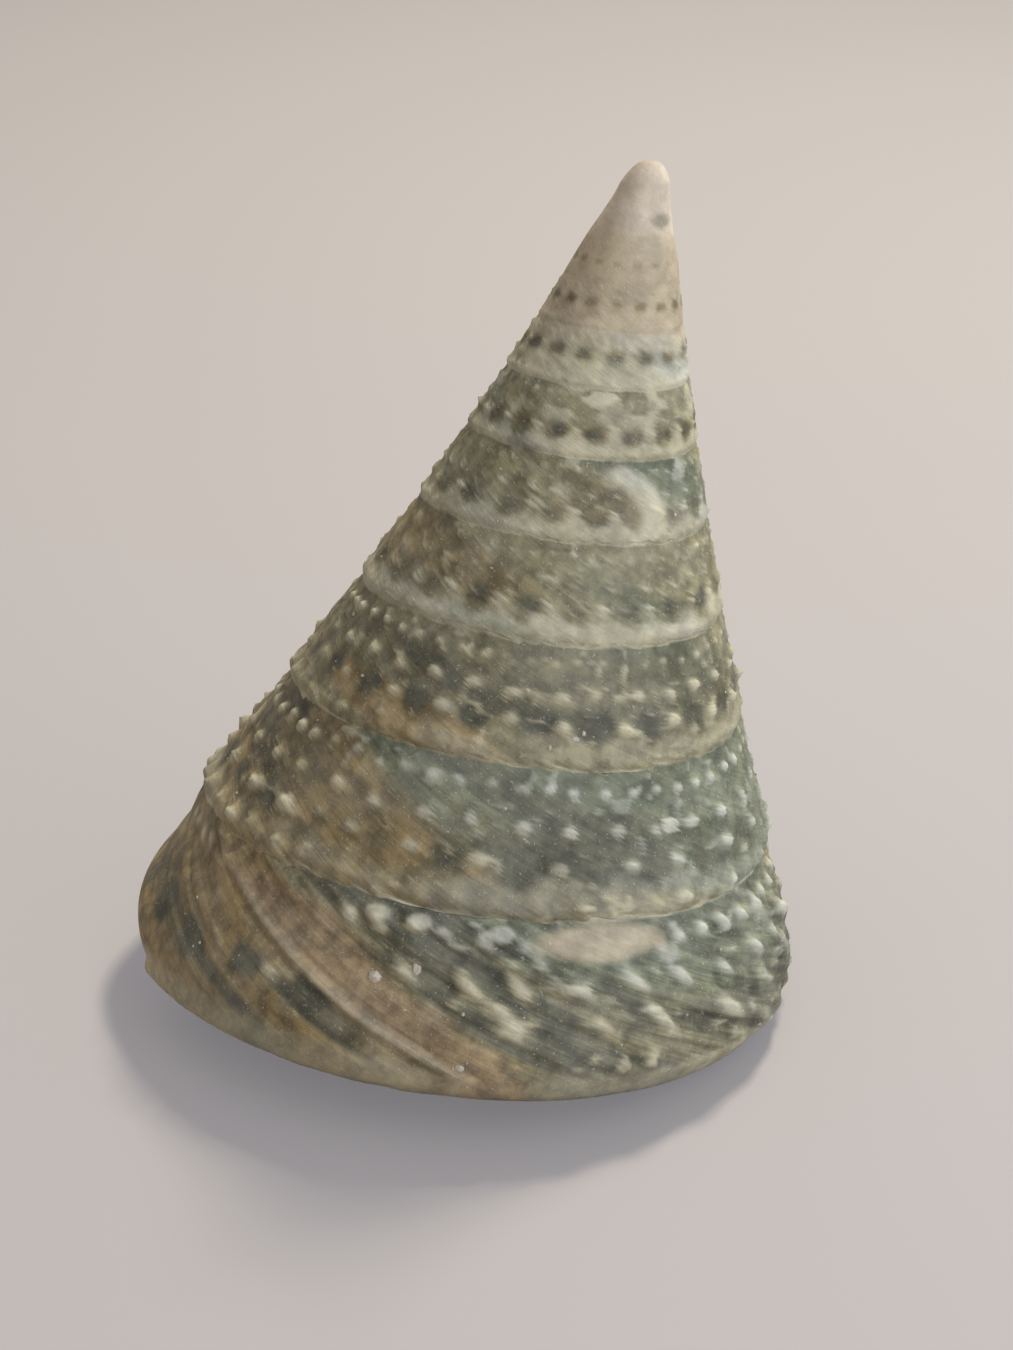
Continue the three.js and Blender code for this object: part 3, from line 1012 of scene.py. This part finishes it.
# %% Helpers for nodes
def connect(tree, node, sockets):
    """Gives inputs of a node, by name or number, a constant or an output to link."""
    for name, value in sockets.items():
        if isinstance(value, (int, float, tuple)):
            node.inputs[name].default_value = value
        else:
            tree.links.new(value, node.inputs[name])


def add_node(tree, kind, sockets=None, **values):
    node = tree.nodes.new(kind)
    for name, value in values.items():
        setattr(node, name, value)
    connect(tree, node, sockets or {})
    return node


def new_group(name, inputs, outputs):
    """A group, from the kind of each of its inputs and outputs."""
    group = bpy.data.node_groups.new(name, "ShaderNodeTree")
    for direction, sockets in (("INPUT", inputs), ("OUTPUT", outputs)):
        for label, kind in sockets.items():
            group.interface.new_socket(label, in_out=direction, socket_type="NodeSocket" + kind)
    return group, add_node(group, "NodeGroupInput").outputs, add_node(group, "NodeGroupOutput")


def noise_node(tree, vector, scale, detail, roughness):
    sockets = {"Vector": vector, "Scale": scale, "Detail": detail, "Roughness": roughness}
    return add_node(tree, "ShaderNodeTexNoise", sockets).outputs["Fac"]


def ramp(tree, value, start, end, low=0.0, high=1.0):
    """Goes smoothly from low to high while value goes from start to end."""
    sockets = {"Value": value, "From Min": start, "From Max": end, "To Min": low, "To Max": high}
    return add_node(tree, "ShaderNodeMapRange", sockets, interpolation_type="SMOOTHSTEP").outputs["Result"]


def calculate(tree, operation, first, second):
    return add_node(tree, "ShaderNodeMath", {0: first, 1: second}, operation=operation).outputs["Value"]


def mix_colours(tree, share, first, second, blend="MIX"):
    sockets = {0: share, 6: first, 7: second}
    return add_node(tree, "ShaderNodeMix", sockets, data_type="RGBA", blend_type=blend).outputs[2]


def stretched(tree, vector, x, y):
    return add_node(tree, "ShaderNodeMapping", {"Vector": vector, "Scale": (x, y, 1)}).outputs["Vector"]


def bump_node(tree, height, strength, distance):
    sockets = {"Height": height, "Strength": strength, "Distance": distance}
    return add_node(tree, "ShaderNodeBump", sockets).outputs["Normal"]


# %% Streaks and dust
STREAK_OUTPUTS = {"Fine": "Float", "Broad": "Float"}
streaks, given, streaks_out = new_group("growth streaks", {"Growth": "Vector"}, STREAK_OUTPUTS)
fine_place = stretched(streaks, given["Growth"], 240, 5)
broad_place = stretched(streaks, given["Growth"], 62, 3.2)
connect(streaks, streaks_out, {
    "Fine": noise_node(streaks, fine_place, 1, 3, 0.6),
    "Broad": noise_node(streaks, broad_place, 1, 3, 0.55),
})

DUST_OUTPUTS = ("Specks", "Grain", "Film", "Mottle")
dust, given, dust_out = new_group("dust", {"Position": "Vector"}, dict.fromkeys(DUST_OUTPUTS, "Float"))
position = given["Position"]
small_specks = ramp(dust, noise_node(dust, position, 6500, 2, 0.6), 0.62, 0.74)
large_specks = ramp(dust, noise_node(dust, position, 3300, 3, 0.65), 0.63, 0.74)
connect(dust, dust_out, {
    "Specks": calculate(dust, "MAXIMUM", small_specks, large_specks),
    "Grain": noise_node(dust, position, 2600, 6, 0.7),
    "Film": ramp(dust, noise_node(dust, position, 260, 5, 0.6), 0.4, 0.65),
    "Mottle": noise_node(dust, position, 900, 4, 0.6),
})

# %% [markdown]
# ## The shell's material
# The masks on the mesh say where it is pale, dark, brown, green or cream. The groups add streaks
# and dust to them, and the same streaks and grain raise the surface a little as a bump.

# %% The mix of the shell's colours
GREY_OLIVE = (0.21, 0.185, 0.1, 1)
GREEN_GREY = (0.125, 0.136, 0.081, 1)
BROWN = (0.23, 0.165, 0.07, 1)
DARK = (0.08, 0.075, 0.045, 1)
FLAME = (0.26, 0.187, 0.1, 1)
PALE = (0.49, 0.44, 0.29, 1)
PALE_GREEN = (0.47, 0.46, 0.37, 1)
BEIGE = (0.45, 0.365, 0.235, 1)
CREAM = (0.6, 0.495, 0.365, 1)
DUST = (0.66, 0.63, 0.52, 1)
NACRE = (0.6, 0.57, 0.5, 1)
NACRE_PINK = (0.6, 0.47, 0.43, 1)
NACRE_GREEN = (0.47, 0.55, 0.47, 1)
MASKS = ("pale", "dark", "brown", "green", "ochre", "cream", "inside", "streaky")

mix, given, mix_out = new_group(
    "shell colour",
    dict.fromkeys((*MASKS, *STREAK_OUTPUTS, *DUST_OUTPUTS), "Float"),
    {"Color": "Color", "Roughness": "Float", "Height": "Float"},
)


def ranged(name, *limits):
    return ramp(mix, given[name], *limits)


def share_of(name, amount):
    return calculate(mix, "MULTIPLY", given[name], amount)


def mixed(share, first, second, blend="MIX"):
    return mix_colours(mix, share, first, second, blend)


def shaded(share, colour, brightness):
    grey = add_node(mix, "ShaderNodeCombineColor", dict.fromkeys(range(3), brightness))
    return mixed(share, colour, grey.outputs["Color"], "MULTIPLY")


def broken_mask(name, wobble, amount):
    """A mask whose edge is broken up by a noise."""
    moved = calculate(mix, "ADD", given[name], share_of(wobble, amount))
    return ramp(mix, moved, amount / 2 + 0.05, amount / 2 + 0.85)


colour = mixed(given["green"], GREY_OLIVE, GREEN_GREY)
colour = mixed(broken_mask("brown", "Broad", 0.5), colour, BROWN)
colour = mixed(broken_mask("ochre", "Broad", 0.3), colour, FLAME)
colour = mixed(broken_mask("dark", "Grain", 0.35), colour, DARK)
colour = shaded(calculate(mix, "ADD", given["streaky"], 0.1), colour, ranged("Fine", 0.25, 0.75, 0.78, 1.24))
colour = shaded(given["streaky"], colour, ranged("Broad", 0.36, 0.64, 0.66, 1.3))
colour = shaded(1.0, colour, ranged("Mottle", 0.33, 0.67, 0.66, 1.34))
light_colour = mixed(given["green"], PALE, PALE_GREEN)
light_colour = mixed(ranged("cream", 0, 0.5), light_colour, BEIGE)
light_colour = mixed(ranged("cream", 0.5, 1), light_colour, CREAM)
light_colour = shaded(1.0, light_colour, ranged("Mottle", 0.33, 0.67, 0.82, 1.1))
light_colour = shaded(1.0, light_colour, ranged("Fine", 0.3, 0.7, 0.95, 1.04))
colour = mixed(broken_mask("pale", "Grain", 0.3), colour, light_colour)
colour = mixed(share_of("Film", 0.1), colour, DUST)
colour = mixed(share_of("Specks", 0.32), colour, DUST)
nacre = mixed(ranged("Broad", 0.35, 0.65), NACRE, NACRE_PINK)
nacre = mixed(ranged("Mottle", 0.45, 0.75), nacre, NACRE_GREEN)
colour = mixed(given["inside"], colour, nacre)
rough = calculate(mix, "SUBTRACT", ranged("Film", 0, 1, 0.58, 0.76), share_of("inside", 0.3))
relief = calculate(mix, "ADD", share_of("Fine", 0.6), share_of("Grain", 0.7))
relief = calculate(mix, "ADD", relief, share_of("Specks", 0.35))
connect(mix, mix_out, {"Color": colour, "Roughness": rough, "Height": relief})


# %% The two materials
def new_material(name, thing):
    """A material on a piece: its node tree and its Principled BSDF."""
    material = bpy.data.materials.new(name)
    material.use_nodes = True
    thing.data.materials.clear()
    thing.data.materials.append(material)
    return material.node_tree, material.node_tree.nodes["Principled BSDF"]


def group_node(tree, group, name, place):
    return add_node(tree, "ShaderNodeGroup", {name: place}, node_tree=group).outputs


def dust_node(tree):
    return group_node(tree, dust, "Position", add_node(tree, "ShaderNodeTexCoord").outputs["Object"])


tree, surface = new_material("shell", shell)
growth = add_node(tree, "ShaderNodeUVMap", uv_map="growth").outputs["UV"]
values = {}
for name in MASKS:
    mask = add_node(tree, "ShaderNodeAttribute", attribute_type="GEOMETRY", attribute_name=name)
    values[name] = mask.outputs["Fac"]
values.update(group_node(tree, streaks, "Growth", growth).items())
values.update(dust_node(tree).items())
mix_node = add_node(tree, "ShaderNodeGroup", node_tree=mix)
connect(tree, mix_node, values)
connect(tree, surface, {
    "Base Color": mix_node.outputs["Color"],
    "Roughness": mix_node.outputs["Roughness"],
    "Normal": bump_node(tree, mix_node.outputs["Height"], 0.5, 0.12 * MM),
    "Specular IOR Level": 0.32,
})

SAND = (0.3, 0.25, 0.17, 1)
LIGHT_SAND = (0.5, 0.44, 0.33, 1)
tree, surface = new_material("grit", grit)
sand = dust_node(tree)
connect(tree, surface, {
    "Base Color": mix_colours(tree, sand["Grain"], SAND, LIGHT_SAND),
    "Roughness": ramp(tree, sand["Film"], 0, 1, 0.5, 0.8),
    "Normal": bump_node(tree, sand["Grain"], 0.44, 0.05 * MM),
})

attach(shell, "root")
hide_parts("shell")
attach(grit, "root")

# %% [markdown]
# ## The table and the light
# The shell stands on pale paper. A small, warm light above and behind it throws its shadow towards
# the front. A large, bluish light from the right has no shadow, and a weak, even light comes from
# all around.

# %% The table
PAPER = (0.4, 0.367, 0.35, 1)
bpy.ops.object.select_all(action="DESELECT")
bpy.ops.mesh.primitive_plane_add(size=3, location=(0, 0, 0))
floor = bpy.context.object
floor.name = "table"
tree, surface = new_material("paper", floor)
connect(tree, surface, {"Base Color": PAPER, "Roughness": 0.9})


# %% The lights
def area_light(name, size, energy, colour, location, towards):
    data = bpy.data.lights.new(name, "AREA")
    data.size = size
    data.energy = energy
    data.color = colour
    light = bpy.data.objects.new(name, data)
    light.location = location
    light.rotation_euler = (Vector(towards) - light.location).to_track_quat("-Z", "Y").to_euler()
    bpy.context.scene.collection.objects.link(light)
    return data


area_light("softbox", 0.06, 0.98, (1, 0.95, 0.8), (0.075, 0.2, 0.3), (0, 0, 0.02))
fill = area_light("fill", 0.3, 1.6, (0.77, 0.85, 1), (0.28, -0.17, 0.24), (0, 0, 0.015))
fill.use_shadow = False
world = bpy.data.worlds.new("studio")
world.use_nodes = True
background = world.node_tree.nodes["Background"]
connect(world.node_tree, background, {"Color": (1, 0.96, 0.97, 1), "Strength": 0.44})
bpy.context.scene.world = world
bpy.context.scene.view_settings.view_transform = "Standard"
